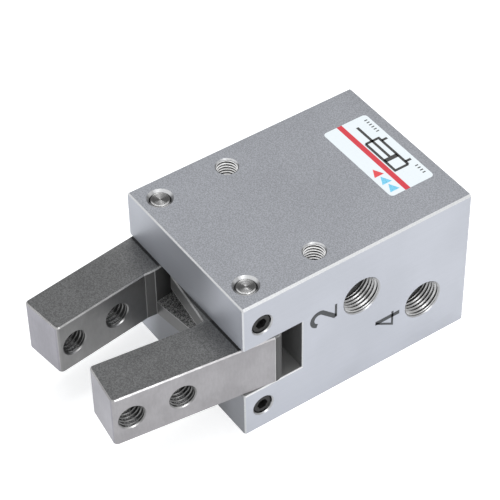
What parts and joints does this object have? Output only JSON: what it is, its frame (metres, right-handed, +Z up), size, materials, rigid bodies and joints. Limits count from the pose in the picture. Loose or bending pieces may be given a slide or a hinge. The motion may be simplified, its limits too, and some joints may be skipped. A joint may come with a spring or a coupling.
{
  "type": "pneumatic angular gripper",
  "caption": "Double-acting pneumatic gripper: a rectangular housing with side air ports and a piston that swings slotted fingers about parallel shafts, for gripping small workpieces.",
  "frame": {"origin": "midway between the two mounting threads, in the lower wide face", "axes": "+X across the width to the side with the air ports, -Y towards the finger tips, +Z up out of the lower wide face"},
  "size_m": [0.0462, 0.0924, 0.04],
  "materials": {
    "anodised_aluminium": "fine sand textured clear anodise",
    "cap_aluminium": "turned, clear anodise",
    "turned_aluminium": "turned",
    "finger_steel": "hardened, ground on the sides",
    "turned_steel": "turned end faces, ground round",
    "black_steel": "black oxide",
    "chromed_rod": "hard chrome",
    "bronze": "sintered",
    "seal_rubber": "matt",
    "bumper_rubber": "matt",
    "magnet_rubber": "bonded magnet powder",
    "wear_plastic": "low friction"
  },
  "bodies": {
    "housing": {"housing": "anodised_aluminium", "end_cap": "cap_aluminium", "retaining_ring": "black_steel", "cap_seal": "seal_rubber", "rear_bumper": "bumper_rubber", "front_bumper": "bumper_rubber", "rod_bush": "bronze", "rod_seal": "seal_rubber", "seal_retainer": "cap_aluminium", "right_lever_shaft": "turned_steel", "left_lever_shaft": "turned_steel", "shaft_set_screws": "black_steel"},
    "piston": {"piston": "turned_aluminium", "piston_rod": "chromed_rod", "piston_screw": "black_steel", "piston_seal": "seal_rubber", "piston_magnet": "magnet_rubber", "wear_ring": "wear_plastic", "rod_gasket": "seal_rubber", "centre_pin": "turned_steel"},
    "right_finger": {"right_finger": "finger_steel"},
    "left_finger": {"left_finger": "finger_steel"},
    "upper_roller": {"upper_roller": "turned_steel"},
    "lower_roller": {"lower_roller": "turned_steel"}
  },
  "joints": [
    {"name": "piston_slide", "type": "slide", "parent": "housing", "child": "piston", "axis": [0, -1, 0], "range_m": [0, 0.0066]},
    {"name": "right_finger_hinge", "type": "hinge", "parent": "housing", "child": "right_finger", "pos_m": [0.01675, -0.018, 0.02], "axis": [0, 0, 1], "range_deg": [0, 22.2]},
    {"name": "left_finger_hinge", "type": "hinge", "parent": "housing", "child": "left_finger", "pos_m": [-0.01675, -0.018, 0.02], "axis": [0, 0, -1], "range_deg": [0, 22.2]},
    {"name": "upper_roller_spin", "type": "hinge", "parent": "piston", "child": "upper_roller", "pos_m": [0, -0.01588, 0.0251], "axis": [0, 0, 1], "continuous": true},
    {"name": "lower_roller_spin", "type": "hinge", "parent": "piston", "child": "lower_roller", "pos_m": [0, -0.01588, 0.0149], "axis": [0, 0, 1], "continuous": true}
  ],
  "couplings": [
    {"joint": "right_finger_hinge", "follows": "piston_slide", "rad_per_m": 58.7},
    {"joint": "left_finger_hinge", "follows": "piston_slide", "rad_per_m": 58.7}
  ]
}
